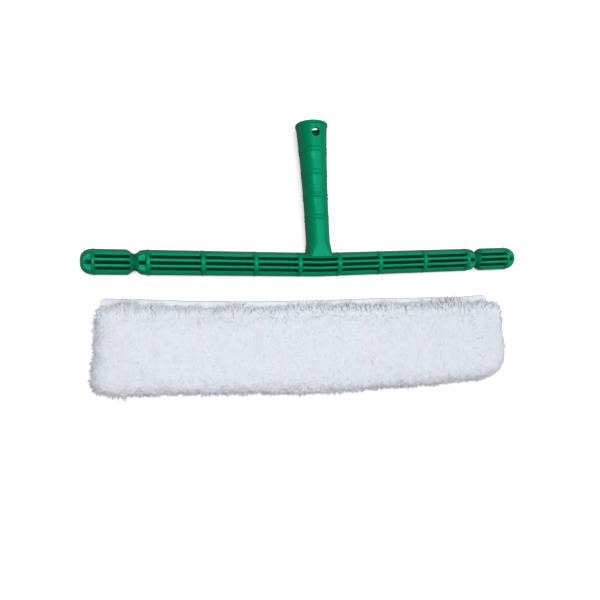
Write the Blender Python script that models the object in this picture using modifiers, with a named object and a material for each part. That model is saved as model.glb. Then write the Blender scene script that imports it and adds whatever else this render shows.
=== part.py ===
# Window scrubber: a moulded T-bar with a fluted crossbar and a socket handle, and its pile sleeve.
# Metres, +Z up. Both lie on the plane Z = 0, the bar along X and the handle towards +Y.
# The origin is on that plane, at the middle of the whole set's footprint.

import math

import bmesh
import bpy
from mathutils import Matrix, Vector

mm = 0.001

# Gaps between pieces that touch, and how far a cutter runs past what it cuts
seat_gap = 0.3 * mm
overrun = 4.0 * mm
weld_distance = 0.01 * mm

# Crossbar
bar_length = 350.0 * mm
rail_radius = 9.2 * mm
band_height = 0.2 * mm
band_width = 2.4 * mm
knob_band_width = 1.5 * mm
knob_length = 36.7 * mm  # from the middle of the neck to the bar's end
taper_length = 8.4 * mm  # from the last band's outer face to the middle of the neck
cone_length = 5.0 * mm  # from the middle of the neck to the knob's full width
neck_radius = 6.1 * mm
neck_half_width = 0.9 * mm
shoulder_drop = 0.5 * mm
dome_length = 8.15 * mm
dome_tip_radius = 2.9 * mm
arm_sweep = math.radians(1.3)  # each arm leans towards the handle by this much
slot_pitch = 4.3 * mm
slot_width = 2.2 * mm
slot_roll = math.radians(8.0)  # the slots and rails are turned this much about the bar's axis
web_thickness = 2.6 * mm
rail_flat_depth = 0.7 * mm
outer_rail_depth = 3.8 * mm  # the outer rails are cut flat this far below the bar's round
knob_slot_place = 2.7 * mm  # where the knob's slots start, from the middle of the neck
slot_end_inset = 0.35 * mm  # the slots stop this far short of the bands
notch_length = 4.8 * mm
notch_inset = 0.3 * mm
band_place_shares = (0.124, 0.39, 0.695, 1.0)
shoulder_share = 0.5
cone_share = 0.8
slot_lanes = (-1, 0, 1)

# Handle
handle_length = 112.3 * mm  # from the bar's axis to the mouth
foot_height = 17.5 * mm
foot_base = 5.3 * mm
foot_width = 18.8 * mm
foot_depth = 17.4 * mm
foot_corner = 2.4 * mm
handle_radius = 9.3 * mm
mouth_swell = 2.8 * mm
swell_power = 2.4
lip_height = 0.5 * mm
lip_width = 2.2 * mm
mouth_wall = 2.2 * mm
bore_depth = 74.0 * mm
bore_taper = 2.9 * mm
ring_height = 0.45 * mm
ring_width = 1.3 * mm
ring_spacing = 2.9 * mm
pin_hole_radius = 3.3 * mm
pin_hole_depth = 9.4 * mm  # from the mouth to the hole's axis
ring_place_shares = (0.313, 0.465, 0.631, 0.792)

# Sleeve
sleeve_length = 326.5 * mm
sleeve_depth = 71.0 * mm
sleeve_belly = 4.6 * mm
sleeve_offset = -5.25 * mm
sleeve_turn = math.radians(-1.0)
bar_to_mouth = 27.4 * mm
mouth_corner = 5.0 * mm
low_left_corner = 13.0 * mm
low_right_corner = 26.0 * mm
mouth_right_corner = 9.0 * mm
least_corner = 0.8 * mm  # an inner ring's corners are never sharper than this
back_pile_height = 8.5 * mm
front_pile_height = 9.2 * mm
pile_roll = 9.0 * mm
pile_overhang = 3.0 * mm
lining_thickness = 1.0 * mm
pocket_gap = 5.8 * mm
seam_width = 6.0 * mm
flap_depth = 6.6 * mm
flap_left_margin = 5.5 * mm
flap_right_margin = 17.0 * mm
flap_corner = 3.5 * mm
flap_hinge_gap = 0.1 * mm  # the flap's seamed edge, in front of the hinge line
lining_hinge_gap = 0.25 * mm  # the lining's edge, behind it
pile_to_hinge = 1.0 * mm
tape_thickness = 1.2 * mm
tape_width = 4.8 * mm
tape_inner_place = 66.5 * mm
tape_end_margin = 5.0 * mm
tack_width = 1.4 * mm
tack_height = 0.5 * mm

# Inset as a share of the pile's roll, and height as a share of the pile's height
front_pile_shares = ((0.5, 0.0), (0.12, 0.16), (0.0, 0.4), (0.12, 0.68), (0.5, 0.88), (1.1, 0.96), (2.4, 1.0))
back_pile_shares = ((0.5, 0.0), (0.14, 0.26), (0.0, 0.55), (0.14, 0.82), (0.5, 1.0))

# Fineness of the round and bent outlines
turned_sides = 24
hole_sides = 16
corner_steps = 5
edge_steps = 12
foot_corner_steps = 2
dome_steps = 4
sharp_angle = math.radians(32)  # edges bent by more than this are shaded sharp

half_length = bar_length / 2
band_radius = rail_radius + band_height
neck_place = half_length - knob_length
last_band_place = neck_place - taper_length - band_width / 2
knob_band_place = half_length - dome_length - knob_band_width / 2
mouth_radius = handle_radius + mouth_swell
lip_radius = mouth_radius + lip_height
bore_radius = lip_radius - mouth_wall

half_sleeve = sleeve_length / 2
back_lining_base = back_pile_height + seat_gap
pocket_base = back_lining_base + lining_thickness
pocket_top = pocket_base + pocket_gap
front_pile_base = pocket_top + lining_thickness + seat_gap
hinge_place = flap_depth + flap_hinge_gap
hinge_height = pocket_top + lining_thickness


def clear_scene():
    for item in list(bpy.data.objects):
        bpy.data.objects.remove(item, do_unlink=True)


def add_collection(name):
    collection = bpy.data.collections.new(name)
    bpy.context.scene.collection.children.link(collection)
    return collection


def add_empty(name, collection, parent=None):
    empty = bpy.data.objects.new(name, None)
    empty.empty_display_size = overrun
    empty.parent = parent
    collection.objects.link(empty)
    return empty


def plain_material(name, color, roughness):
    material = bpy.data.materials.new(name)
    material.use_nodes = True
    shader = material.node_tree.nodes["Principled BSDF"]
    shader.inputs["Base Color"].default_value = (*color, 1.0)
    shader.inputs["Roughness"].default_value = roughness
    shader.inputs["Metallic"].default_value = 0.0
    return material


def add_piece(name, mesh, collection, parent, material):
    piece = bpy.data.objects.new(name, mesh)
    mesh.materials.clear()
    mesh.materials.append(material)
    piece.parent = parent
    collection.objects.link(piece)
    return piece


def add_cutter(name, mesh, collection, parent):
    cutter = bpy.data.objects.new(name, mesh)
    cutter.parent = parent
    cutter.hide_render = True
    cutter.display_type = "WIRE"
    collection.objects.link(cutter)
    return cutter


def add_cut(piece, cutter):
    step = piece.modifiers.new("Cut " + cutter.name, "BOOLEAN")
    step.operation = "DIFFERENCE"
    step.object = cutter


def evaluated_mesh(source):
    graph = bpy.context.evaluated_depsgraph_get()
    return bpy.data.meshes.new_from_object(source.evaluated_get(graph))


def settle(piece):
    """Keep a piece's evaluated mesh, so that its edges can be shaded by their angle."""
    mesh = evaluated_mesh(piece)
    material = piece.data.materials[0]
    piece.modifiers.clear()
    piece.data = mesh
    mesh.materials.clear()
    mesh.materials.append(material)
    mesh.shade_smooth()
    mesh.set_sharp_from_angle(angle=sharp_angle)


def weld(mesh):
    shape = bmesh.new()
    shape.from_mesh(mesh)
    bmesh.ops.remove_doubles(shape, verts=shape.verts, dist=weld_distance)
    shape.to_mesh(mesh)
    shape.free()


def turned_mesh(profile, sides):
    """Turn (height, radius) points, given from the top down, about Z."""
    outline = bpy.data.meshes.new("outline")
    shape = bmesh.new()
    corners = [shape.verts.new((radius, 0.0, height)) for height, radius in profile]
    for first, second in zip(corners, corners[1:]):
        shape.edges.new((first, second))
    shape.to_mesh(outline)
    shape.free()
    holder = bpy.data.objects.new("outline", outline)
    bpy.context.scene.collection.objects.link(holder)
    turn = holder.modifiers.new("Turn", "SCREW")
    turn.steps = sides
    turn.render_steps = sides
    turn.use_merge_vertices = True
    turn.merge_threshold = weld_distance
    mesh = evaluated_mesh(holder)
    bpy.data.objects.remove(holder, do_unlink=True)
    weld(mesh)
    return mesh


def boxes_mesh(name, boxes):
    """One mesh of separate boxes, each given by its lowest and highest corner."""
    shape = bmesh.new()
    for low, high in boxes:
        middle = (Vector(low) + Vector(high)) / 2
        size = Vector(high) - Vector(low)
        place = Matrix.Translation(middle) @ Matrix.Diagonal((*size, 1.0))
        bmesh.ops.create_cube(shape, size=1.0, matrix=place)
    mesh = bpy.data.meshes.new(name)
    shape.to_mesh(mesh)
    shape.free()
    return mesh


def flat_mesh(name, outline, base, thickness):
    """A flat outline of (x, y) points as a plate whose lower face is at base."""
    curve = bpy.data.curves.new(name, "CURVE")
    curve.dimensions = "2D"
    curve.fill_mode = "BOTH"
    curve.extrude = thickness / 2
    spline = curve.splines.new("POLY")
    spline.points.add(len(outline) - 1)
    for point, (x, y) in zip(spline.points, outline):
        point.co = (x, y, 0.0, 1.0)
    spline.use_cyclic_u = True
    holder = bpy.data.objects.new(name, curve)
    bpy.context.scene.collection.objects.link(holder)
    mesh = evaluated_mesh(holder)
    bpy.data.objects.remove(holder, do_unlink=True)
    mesh.transform(Matrix.Translation((0.0, 0.0, base + thickness / 2)))
    weld(mesh)
    return mesh


def arc_points(center, radius, start, end, steps):
    points = []
    for step in range(steps + 1):
        angle = start + (end - start) * step / steps
        points.append((center[0] + radius * math.cos(angle), center[1] + radius * math.sin(angle)))
    return points


def bands():
    """(place, width) of each band along an arm, the knob's own last."""
    arm_bands = [(share * last_band_place, band_width) for share in band_place_shares]
    return arm_bands + [(knob_band_place, knob_band_width)]


def arm_profile():
    """(place along the arm, radius) from the middle of the bar to its end."""
    points = [(-overrun, 0.0), (-overrun, rail_radius)]
    shoulder = neck_place - taper_length * shoulder_share
    for place, width in bands():
        if place > neck_place:
            points.append((shoulder, rail_radius - shoulder_drop))
            points.append((neck_place - neck_half_width, neck_radius))
            points.append((neck_place + neck_half_width, neck_radius))
            points.append((neck_place + cone_length * cone_share, rail_radius - shoulder_drop))
            points.append((neck_place + cone_length, rail_radius))
        points.append((place - width / 2, rail_radius))
        points.append((place - width / 2, band_radius))
        points.append((place + width / 2, band_radius))
        points.append((place + width / 2, rail_radius))
    for step in range(1, dome_steps + 1):
        angle = math.pi / 2 * step / dome_steps
        along = half_length - dome_length * (1 - math.sin(angle))
        points.append((along, dome_tip_radius + (rail_radius - dome_tip_radius) * math.cos(angle)))
    points.append((half_length, 0.0))
    return points


def arm_spaces(inset):
    """Where the slots run along an arm: the bays between the bands, and the knob's own."""
    places = [share * last_band_place for share in band_place_shares]
    reach = band_width / 2 + inset
    spaces = [(-2 * overrun, places[0] - reach)]
    for near, far in zip(places, places[1:]):
        spaces.append((near + reach, far - reach))
    knob_end = knob_band_place - knob_band_width / 2 - inset
    spaces.append((neck_place + knob_slot_place, knob_end))
    return spaces


def notch_spaces():
    """The two short notches in the middle lane: in the shoulder and in the end's dome."""
    shoulder_start = last_band_place + band_width / 2 + notch_inset
    dome_start = half_length - dome_length + notch_inset
    return [(shoulder_start, shoulder_start + notch_length), (dome_start, dome_start + notch_length)]


def slot_boxes():
    reach = band_radius + overrun
    boxes = []
    lanes = [(space, lane) for space in arm_spaces(slot_end_inset) for lane in slot_lanes]
    lanes += [(space, 0) for space in notch_spaces()]
    for (start, end), lane in lanes:
        low = lane * slot_pitch - slot_width / 2
        for side in (1, -1):
            heights = sorted((side * web_thickness / 2, side * reach))
            boxes.append(((start, low, heights[0]), (end, low + slot_width, heights[1])))
    return boxes


def flat_boxes():
    """What is taken off the tops of the two middle rails, front and back."""
    reach = band_radius + overrun
    level = rail_radius - rail_flat_depth
    boxes = []
    for start, end in arm_spaces(slot_end_inset / 2):
        for side in (1, -1):
            heights = sorted((side * level, side * reach))
            boxes.append(((start, -slot_pitch, heights[0]), (end, slot_pitch, heights[1])))
    return boxes


def outer_flat_boxes():
    """What is taken off the two outer rails. Under the handle's foot the upper one stays round."""
    reach = band_radius + overrun
    level = rail_radius - outer_rail_depth
    middle, *others = arm_spaces(slot_end_inset / 2)
    runs = [(space, edge) for space in others for edge in (1, -1)] + [(middle, -1)]
    boxes = []
    for (start, end), edge in runs:
        places = sorted((edge * slot_pitch, edge * reach))
        for side in (1, -1):
            heights = sorted((side * level, side * reach))
            boxes.append(((start, places[0], heights[0]), (end, places[1], heights[1])))
    return boxes


def make_crossbar(parts, cutters, frame, material):
    lean = Matrix.Rotation(arm_sweep, 4, "Z")
    mesh = turned_mesh(list(reversed(arm_profile())), turned_sides)
    mesh.transform(lean @ Matrix.Rotation(math.pi / 2, 4, "Y"))
    crossbar = add_piece("crossbar", mesh, parts, frame, material)
    cuts = (("slots", slot_boxes()), ("rail_flats", flat_boxes()), ("outer_rail_flats", outer_flat_boxes()))
    for name, boxes in cuts:
        cutter_mesh = boxes_mesh(name, boxes)
        cutter_mesh.transform(lean @ Matrix.Rotation(slot_roll, 4, "X"))
        add_cut(crossbar, add_cutter(name, cutter_mesh, cutters, frame))
    halves = crossbar.modifiers.new("Other arm", "MIRROR")
    halves.use_axis = (True, False, False)
    halves.use_bisect_axis = (True, False, False)
    halves.merge_threshold = weld_distance
    settle(crossbar)


def outer_radius(place):
    """The handle's swell from its foot to its mouth."""
    share = (place - foot_height) / (handle_length - foot_height)
    return handle_radius + mouth_swell * share ** swell_power


def handle_profile():
    """(place from the bar's axis, radius) from the mouth down to the foot."""
    lip_start = handle_length - lip_width
    points = [(handle_length, 0.0), (handle_length, lip_radius), (lip_start, lip_radius)]
    points.append((lip_start - lip_height, outer_radius(lip_start - lip_height)))
    marks = []
    for share in ring_place_shares:
        for side in (1, -1):
            marks.append(share * handle_length + side * ring_spacing / 2)
    for place in sorted(marks, reverse=True):
        points.append((place + ring_width / 2, outer_radius(place + ring_width / 2)))
        points.append((place, outer_radius(place) + ring_height))
        points.append((place - ring_width / 2, outer_radius(place - ring_width / 2)))
    points.append((foot_height, outer_radius(foot_height)))
    return points


def foot_outline():
    """The foot's rectangle with its rounded corners, as (x, y) points."""
    points = []
    for quarter in range(4):
        start = quarter * math.pi / 2
        x_side = 1 if quarter in (0, 3) else -1
        y_side = 1 if quarter in (0, 1) else -1
        center = (x_side * (foot_width / 2 - foot_corner), y_side * (foot_depth / 2 - foot_corner))
        points += arc_points(center, foot_corner, start, start + math.pi / 2, foot_corner_steps)
    return points


def handle_mesh():
    """The turned handle, joined to a foot that goes from its circle to a rectangle in flat facets."""
    shape = bmesh.new()
    shape.from_mesh(turned_mesh(handle_profile(), turned_sides))
    lowest = [vert.co.copy() for vert in shape.verts if vert.co.z < foot_height + weld_distance]
    rim = [shape.verts.new(point) for point in lowest]
    sole = [shape.verts.new((x, y, foot_base)) for x, y in foot_outline()]
    bmesh.ops.convex_hull(shape, input=rim + sole)
    lids = [face for face in shape.faces if all(vert in rim for vert in face.verts)]
    bmesh.ops.delete(shape, geom=lids, context="FACES_ONLY")
    bmesh.ops.remove_doubles(shape, verts=shape.verts, dist=weld_distance)
    bmesh.ops.recalc_face_normals(shape, faces=shape.faces)
    mesh = bpy.data.meshes.new("handle")
    shape.to_mesh(mesh)
    shape.free()
    return mesh


def bore_profile():
    bottom = handle_length - bore_depth
    rise = bore_taper * overrun / bore_depth
    return [
        (handle_length + overrun, 0.0),
        (handle_length + overrun, bore_radius + rise),
        (bottom, bore_radius - bore_taper),
        (bottom, 0.0),
    ]


def seat_profile():
    reach = foot_width + overrun
    radius = rail_radius + seat_gap
    return [(reach, 0.0), (reach, radius), (-overrun, radius), (-overrun, 0.0)]


def pin_hole_profile():
    reach = lip_radius + overrun
    return [(reach, 0.0), (reach, pin_hole_radius), (-reach, pin_hole_radius), (-reach, 0.0)]


def make_handle(parts, cutters, frame, material):
    upright = Matrix.Rotation(-math.pi / 2, 4, "X")
    mesh = handle_mesh()
    mesh.transform(upright)
    handle = add_piece("handle", mesh, parts, frame, material)
    bore = turned_mesh(bore_profile(), turned_sides)
    bore.transform(upright)
    add_cut(handle, add_cutter("bore", bore, cutters, frame))
    hole = turned_mesh(pin_hole_profile(), hole_sides)
    hole.transform(Matrix.Translation((0.0, handle_length - pin_hole_depth, 0.0)))
    add_cut(handle, add_cutter("pin_hole", hole, cutters, frame))
    for name, side in (("right_seat", 1), ("left_seat", -1)):
        seat = turned_mesh(seat_profile(), turned_sides)
        lean = Matrix.Rotation(side * arm_sweep, 4, "Z")
        seat.transform(lean @ Matrix.Rotation(side * math.pi / 2, 4, "Y"))
        add_cut(handle, add_cutter(name, seat, cutters, frame))
    settle(handle)


def sag(x, y):
    """The laid sleeve hangs down a little towards the middle of its lower edge."""
    depth_share = -y / sleeve_depth
    return x, y - sleeve_belly * depth_share * (1 - (x / half_sleeve) ** 2)


def three_sides(inset, mouth):
    """The sleeve's rim from the mouth's left end down, along the lower edge and up to the right end."""
    left = -half_sleeve + inset
    right = half_sleeve - inset
    low = -sleeve_depth + inset
    left_corner = max(low_left_corner - inset, least_corner)
    right_corner = max(low_right_corner - inset, least_corner)
    points = [(left, -mouth)]
    start = left + left_corner
    end = right - right_corner
    points += arc_points((start, low + left_corner), left_corner, math.pi, 1.5 * math.pi, corner_steps)
    for step in range(1, edge_steps):
        points.append((start + (end - start) * step / edge_steps, low))
    points += arc_points((end, low + right_corner), right_corner, -math.pi / 2, 0.0, corner_steps)
    points.append((right, -mouth))
    return [sag(x, y) for x, y in points]


def sheet_outline(inset, mouth):
    """The whole rim, with the mouth's two corners rounded."""
    points = three_sides(inset, mouth)
    left_x = points[0][0]
    right_x = points[-1][0]
    left_center = (left_x + mouth_corner, -mouth - mouth_corner)
    right_center = (right_x - mouth_right_corner, -mouth - mouth_right_corner)
    closing = arc_points(right_center, mouth_right_corner, 0.0, math.pi / 2, corner_steps)
    closing += arc_points(left_center, mouth_corner, math.pi / 2, math.pi, corner_steps)
    return points[1:-1] + closing


def ring_edges(shape, ring):
    return [shape.edges.get(pair) for pair in zip(ring, ring[1:] + ring[:1])]


def raised_ring(shape, ring, points):
    """Extrude a closed ring of vertices and move each new one to its point."""
    grown = bmesh.ops.extrude_edge_only(shape, edges=ring_edges(shape, ring))["geom"]
    fresh = {item for item in grown if isinstance(item, bmesh.types.BMVert)}
    raised = []
    for vert, point in zip(ring, points):
        twin = next(v for edge in vert.link_edges for v in edge.verts if v in fresh)
        twin.co = point
        raised.append(twin)
    return raised


def pile_mesh(name, shares, base, height, mouth):
    """A rounded pad of pile: the rim's outline, drawn in and raised from ring to ring."""
    shape = bmesh.new()
    ring = []
    for inset_share, height_share in shares:
        outline = sheet_outline(inset_share * pile_roll, mouth + inset_share * pile_roll)
        points = [(x, y, base + height_share * height) for x, y in outline]
        if ring:
            ring = raised_ring(shape, ring, points)
            continue
        ring = [shape.verts.new(point) for point in points]
        bmesh.ops.contextual_create(shape, geom=ring)
    bmesh.ops.edgeloop_fill(shape, edges=ring_edges(shape, ring))
    bmesh.ops.triangulate(shape, faces=shape.faces)
    bmesh.ops.recalc_face_normals(shape, faces=shape.faces)
    mesh = bpy.data.meshes.new(name)
    shape.to_mesh(mesh)
    shape.free()
    return mesh


def make_piles(parts, frame, material):
    mouth = hinge_place + pile_to_hinge
    pads = (
        ("back_pile", back_pile_shares, 0.0, back_pile_height),
        ("front_pile", front_pile_shares, front_pile_base, front_pile_height),
    )
    for name, shares, base, height in pads:
        pile = add_piece(name, pile_mesh(name, shares, base, height, mouth), parts, frame, material)
        settle(pile)


def make_linings(parts, frame, material):
    back = flat_mesh("back_lining", sheet_outline(pile_overhang, 0.0), back_lining_base, lining_thickness)
    add_piece("back_lining", back, parts, frame, material)
    outline = sheet_outline(pile_overhang, hinge_place + lining_hinge_gap)
    front = flat_mesh("front_lining", outline, pocket_top, lining_thickness)
    add_piece("front_lining", front, parts, frame, material)


def make_seams(parts, frame, material):
    """The sewn rim between the two linings: one strip at each end and one along the lower edge."""
    mouth = hinge_place + lining_hinge_gap
    outer = three_sides(pile_overhang + seat_gap, mouth)
    inner = three_sides(pile_overhang + seam_width, mouth)
    left_end = 1 + corner_steps // 2
    right_start = len(outer) - 2 - corner_steps // 2
    ranges = (
        ("left_end_seam", 0, left_end),
        ("bottom_seam", left_end + 1, right_start - 1),
        ("right_end_seam", right_start, len(outer) - 1),
    )
    for name, first, last in ranges:
        outline = outer[first:last + 1] + list(reversed(inner[first:last + 1]))
        strip = flat_mesh(name, outline, pocket_base + seat_gap, pocket_gap - 2 * seat_gap)
        add_piece(name, strip, parts, frame, material)


def flap_ends():
    return -half_sleeve + flap_left_margin, half_sleeve - flap_right_margin


def flap_outline():
    left, right = flap_ends()
    points = [(left, -flap_depth), (right, -flap_depth)]
    points += arc_points((right - flap_corner, -flap_corner), flap_corner, 0.0, math.pi / 2, corner_steps)
    points += arc_points((left + flap_corner, -flap_corner), flap_corner, math.pi / 2, math.pi, corner_steps)
    return points


def tape_spans():
    left, right = flap_ends()
    return (
        ("left", left + tape_end_margin, -tape_inner_place),
        ("right", tape_inner_place, right - tape_end_margin),
    )


def make_flap(parts, hinge, material, tape_material, thread_material):
    """The mouth's smooth band, with a loop tape under each half and a bar tack at each tape's inner end."""
    shift = Matrix.Translation((0.0, hinge_place, -hinge_height))
    cloth = flat_mesh("mouth_flap", flap_outline(), pocket_top, lining_thickness)
    cloth.transform(shift)
    add_piece("mouth_flap", cloth, parts, hinge, material)
    low = -flap_depth + (flap_depth - tape_width) / 2
    tape_top = pocket_top - seat_gap
    tack_base = pocket_top + lining_thickness + seat_gap
    for side, start, end in tape_spans():
        box = ((start, low, tape_top - tape_thickness), (end, low + tape_width, tape_top))
        tape = boxes_mesh(side + "_loop_tape", [box])
        tape.transform(shift)
        add_piece(side + "_loop_tape", tape, parts, hinge, tape_material)
        middle = end if side == "left" else start
        corner = (middle - tack_width / 2, low, tack_base)
        far_corner = (middle + tack_width / 2, low + tape_width, tack_base + tack_height)
        tack = boxes_mesh(side + "_bar_tack", [(corner, far_corner)])
        tack.transform(shift)
        add_piece(side + "_bar_tack", tack, parts, hinge, thread_material)


def make_hook_tapes(parts, frame, material):
    low = -flap_depth + (flap_depth - tape_width) / 2
    base = pocket_base + seat_gap
    for side, start, end in tape_spans():
        box = ((start, low, base), (end, low + tape_width, base + tape_thickness))
        add_piece(side + "_hook_tape", boxes_mesh(side + "_hook_tape", [box]), parts, frame, material)


def lying_tilt():
    """The T-bar lies on its bands and on the handle's lip, which is wider, so the mouth is raised."""
    lip_place = handle_length - lip_width
    reach = math.hypot(lip_place, lip_radius)
    return math.atan2(lip_radius, lip_place) - math.asin(band_radius / reach)


def center_on_floor(parts, frames):
    """Move the set so that the middle of its footprint is the origin."""
    bpy.context.view_layer.update()
    corners = [piece.matrix_world @ vert.co for piece in parts.objects for vert in piece.data.vertices]
    lowest = Vector([min(corner[axis] for corner in corners) for axis in range(3)])
    highest = Vector([max(corner[axis] for corner in corners) for axis in range(3)])
    middle = (lowest + highest) / 2
    for frame in frames:
        frame.location -= Vector((middle.x, middle.y, lowest.z))
    bpy.context.view_layer.update()


def build():
    clear_scene()
    parts = add_collection("window_scrubber")
    guides = add_collection("guides")
    cutters = add_collection("cutters")
    green = plain_material("green_plastic", (0.008, 0.27, 0.13), 0.42)
    pile = plain_material("white_pile", (0.78, 0.79, 0.84), 0.95)
    cloth = plain_material("smooth_cloth", (0.8, 0.82, 0.85), 0.85)
    hooks = plain_material("fastening_tape", (0.75, 0.76, 0.78), 0.8)

    bar_frame = add_empty("t_bar_frame", guides)
    bar_frame.location.z = band_radius
    bar_frame.rotation_euler.x = lying_tilt()
    make_crossbar(parts, cutters, bar_frame, green)
    make_handle(parts, cutters, bar_frame, green)

    sleeve_frame = add_empty("sleeve_frame", guides)
    sleeve_frame.location = (sleeve_offset, -bar_to_mouth, 0.0)
    sleeve_frame.rotation_euler.z = sleeve_turn
    hinge = add_empty("mouth_hinge", guides, sleeve_frame)
    hinge.location = (0.0, -hinge_place, hinge_height)
    make_piles(parts, sleeve_frame, pile)
    make_linings(parts, sleeve_frame, cloth)
    make_seams(parts, sleeve_frame, cloth)
    make_hook_tapes(parts, sleeve_frame, hooks)
    make_flap(parts, hinge, cloth, hooks, cloth)
    center_on_floor(parts, (bar_frame, sleeve_frame))


build()
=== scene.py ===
from math import acos, atan2, copysign, cos, degrees, hypot, pi, radians, sin, sqrt, tan

import bmesh
import bpy
import numpy as np
from mathutils import Matrix, Vector, noise


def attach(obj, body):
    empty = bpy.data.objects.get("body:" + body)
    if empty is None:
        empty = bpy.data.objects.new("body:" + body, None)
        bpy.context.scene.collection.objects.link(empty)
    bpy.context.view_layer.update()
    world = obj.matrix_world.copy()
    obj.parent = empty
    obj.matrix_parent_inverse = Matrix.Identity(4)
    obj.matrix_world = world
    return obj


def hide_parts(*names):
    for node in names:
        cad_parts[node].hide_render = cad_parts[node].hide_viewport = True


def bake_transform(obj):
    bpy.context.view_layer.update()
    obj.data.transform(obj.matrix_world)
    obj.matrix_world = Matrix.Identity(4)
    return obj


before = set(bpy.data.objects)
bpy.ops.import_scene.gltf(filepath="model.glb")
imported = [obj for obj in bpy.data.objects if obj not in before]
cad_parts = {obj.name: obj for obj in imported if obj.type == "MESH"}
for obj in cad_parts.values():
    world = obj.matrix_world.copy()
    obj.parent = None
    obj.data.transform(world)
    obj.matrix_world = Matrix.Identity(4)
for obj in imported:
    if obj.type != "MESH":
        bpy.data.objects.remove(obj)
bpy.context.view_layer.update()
noise.seed_set(11)  # without a seed, noise_vector differs from run to run
print("frame loaded")

# Shapes are drawn in millimetres, in the frame of the T-bar, of the sleeve or of the whole set.
toMetres = Matrix.Scale(0.001, 4)
barFrame = Matrix.Translation((0.0, -0.004602, 0.0094)) @ Matrix.Rotation(radians(1.6627), 4, "X") @ toMetres
sleeveFrame = Matrix.Translation((-0.00525, -0.032002, 0.0)) @ Matrix.Rotation(radians(-1.0), 4, "Z") @ toMetres


class Wire:  # a socket's value, so that sums on it add Math nodes
    def __init__(self, tree, socket):
        self.tree, self.socket = tree, socket

    def maths(operation, reflected=False):
        def apply(self, other):
            first, second = (other, self) if reflected else (self, other)
            return self.tree.add("Math", {0: first, 1: second}, operation=operation)
        return apply

    __add__, __radd__ = maths("ADD"), maths("ADD", True)
    __sub__, __rsub__ = maths("SUBTRACT"), maths("SUBTRACT", True)
    __mul__, __rmul__ = maths("MULTIPLY"), maths("MULTIPLY", True)


class Tree:  # the nodes of a material or of the world, and the one way to add a node
    def __init__(self, owner):
        owner.use_nodes = True
        self.nodes = owner.node_tree.nodes
        self.links = owner.node_tree.links

    def add(self, kind, sockets=None, output=0, **settings):
        node = self.nodes.new("ShaderNode" + kind)
        for name, value in settings.items():
            setattr(node, name, value)
        for name, value in (sockets or {}).items():
            self.feed(node.inputs[name], value)
        return Wire(self, node.outputs[output])

    def feed(self, socket, value):
        if isinstance(value, Wire):
            self.links.new(value.socket, socket)
        else:
            socket.default_value = value

    def show(self, surface):
        output = next(node for node in self.nodes if node.type.startswith("OUTPUT"))
        self.links.new(surface.socket, output.inputs["Surface"])


class Finish(Tree):  # a material, with the patterns that its finishes share
    def __init__(self, name, **fixed):
        self.material = bpy.data.materials.new(name)
        super().__init__(self.material)
        self.shader = self.nodes["Principled BSDF"]
        for socket, value in fixed.items():
            self.set(socket.replace("_", " "), value)
        self.place = self.add("TexCoord", output="Object")

    def set(self, socket, value):
        self.feed(self.shader.inputs[socket], value)

    def attribute(self, name):
        return self.add("Attribute", output="Fac", attribute_name=name)

    def stretched(self, scale):
        return self.add("Mapping", {"Vector": self.place, "Scale": scale}, "Vector")

    def noise(self, scale, detail=2.0, vector=None, roughness=0.5):
        sockets = {"Vector": vector or self.place, "Scale": scale, "Detail": detail, "Roughness": roughness}
        return self.add("TexNoise", sockets, "Fac")

    def stripes(self, way, scale):
        return self.add("TexWave", {"Vector": self.place, "Scale": scale}, "Fac", bands_direction=way)

    def mix(self, share, first, second):  # each colour is a wire or a fixed one
        first, second = (value if isinstance(value, Wire) else (*value, 1.0) for value in (first, second))
        return self.add("Mix", {0: share, 6: first, 7: second}, 2, data_type="RGBA")

    def ramp(self, value, low, high):
        return self.add("MapRange", {0: value, 1: low, 2: high, 3: 0.0, 4: 1.0})

    def bump(self, height, distance, strength=1.0, under=None):
        sockets = {"Height": height, "Distance": distance, "Strength": strength}
        if under:
            sockets["Normal"] = under
        return self.add("Bump", sockets, "Normal")


greenLook = {
    "deep": (0.0, 0.165, 0.064), "bright": (0.0005, 0.26, 0.108), "worn": (0.01, 0.36, 0.2), "wearShare": 0.3,
    "slotShadeColour": (0.0, 0.008, 0.004), "slotShade": 0.95, "gloss": 0.6, "glossTint": (0.04, 0.85, 0.62, 1.0),
}


def greenPlastic(name, along):
    finish = Finish(name, Specular_IOR_Level=greenLook["gloss"], IOR=1.49, Specular_Tint=greenLook["glossTint"])
    flow = finish.noise(30.0, 3.0, finish.stretched(along))  # faint streaks of the plastic's flow
    patches = finish.noise(55.0, 2.0)
    grain = finish.noise(2600.0, 2.0)
    scuffs = finish.ramp(finish.noise(420.0, 4.0, finish.stretched(along), 0.7), 0.6, 0.78)
    wear = scuffs * finish.ramp(patches, 0.45, 0.7)
    depth = finish.attribute("slotDepth")
    body = finish.mix(flow * 0.6 + patches * 0.4, greenLook["deep"], greenLook["bright"])
    surface = finish.mix(wear * greenLook["wearShare"], body, greenLook["worn"])
    # painted shade: the slots' insides are darkened towards a near-black green, as shade falls there
    finish.set("Base Color", finish.mix(depth * greenLook["slotShade"], surface, greenLook["slotShadeColour"]))
    finish.set("Roughness", 0.32 + patches * 0.1 + wear * 0.16 + grain * 0.04 + depth * 0.5)
    orange = finish.noise(700.0, 1.0)  # the mould's faint orange peel
    fine = finish.bump(grain, 0.00002, 0.35)
    finish.set("Normal", finish.bump(orange + flow * 0.5, 0.00004, 0.3, fine))
    return finish.material


pileLook = {"root": (0.5, 0.51, 0.58), "tip": (0.95, 0.97, 0.99), "cool": (0.62, 0.71, 0.76), "coolShare": 0.4}


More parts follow.
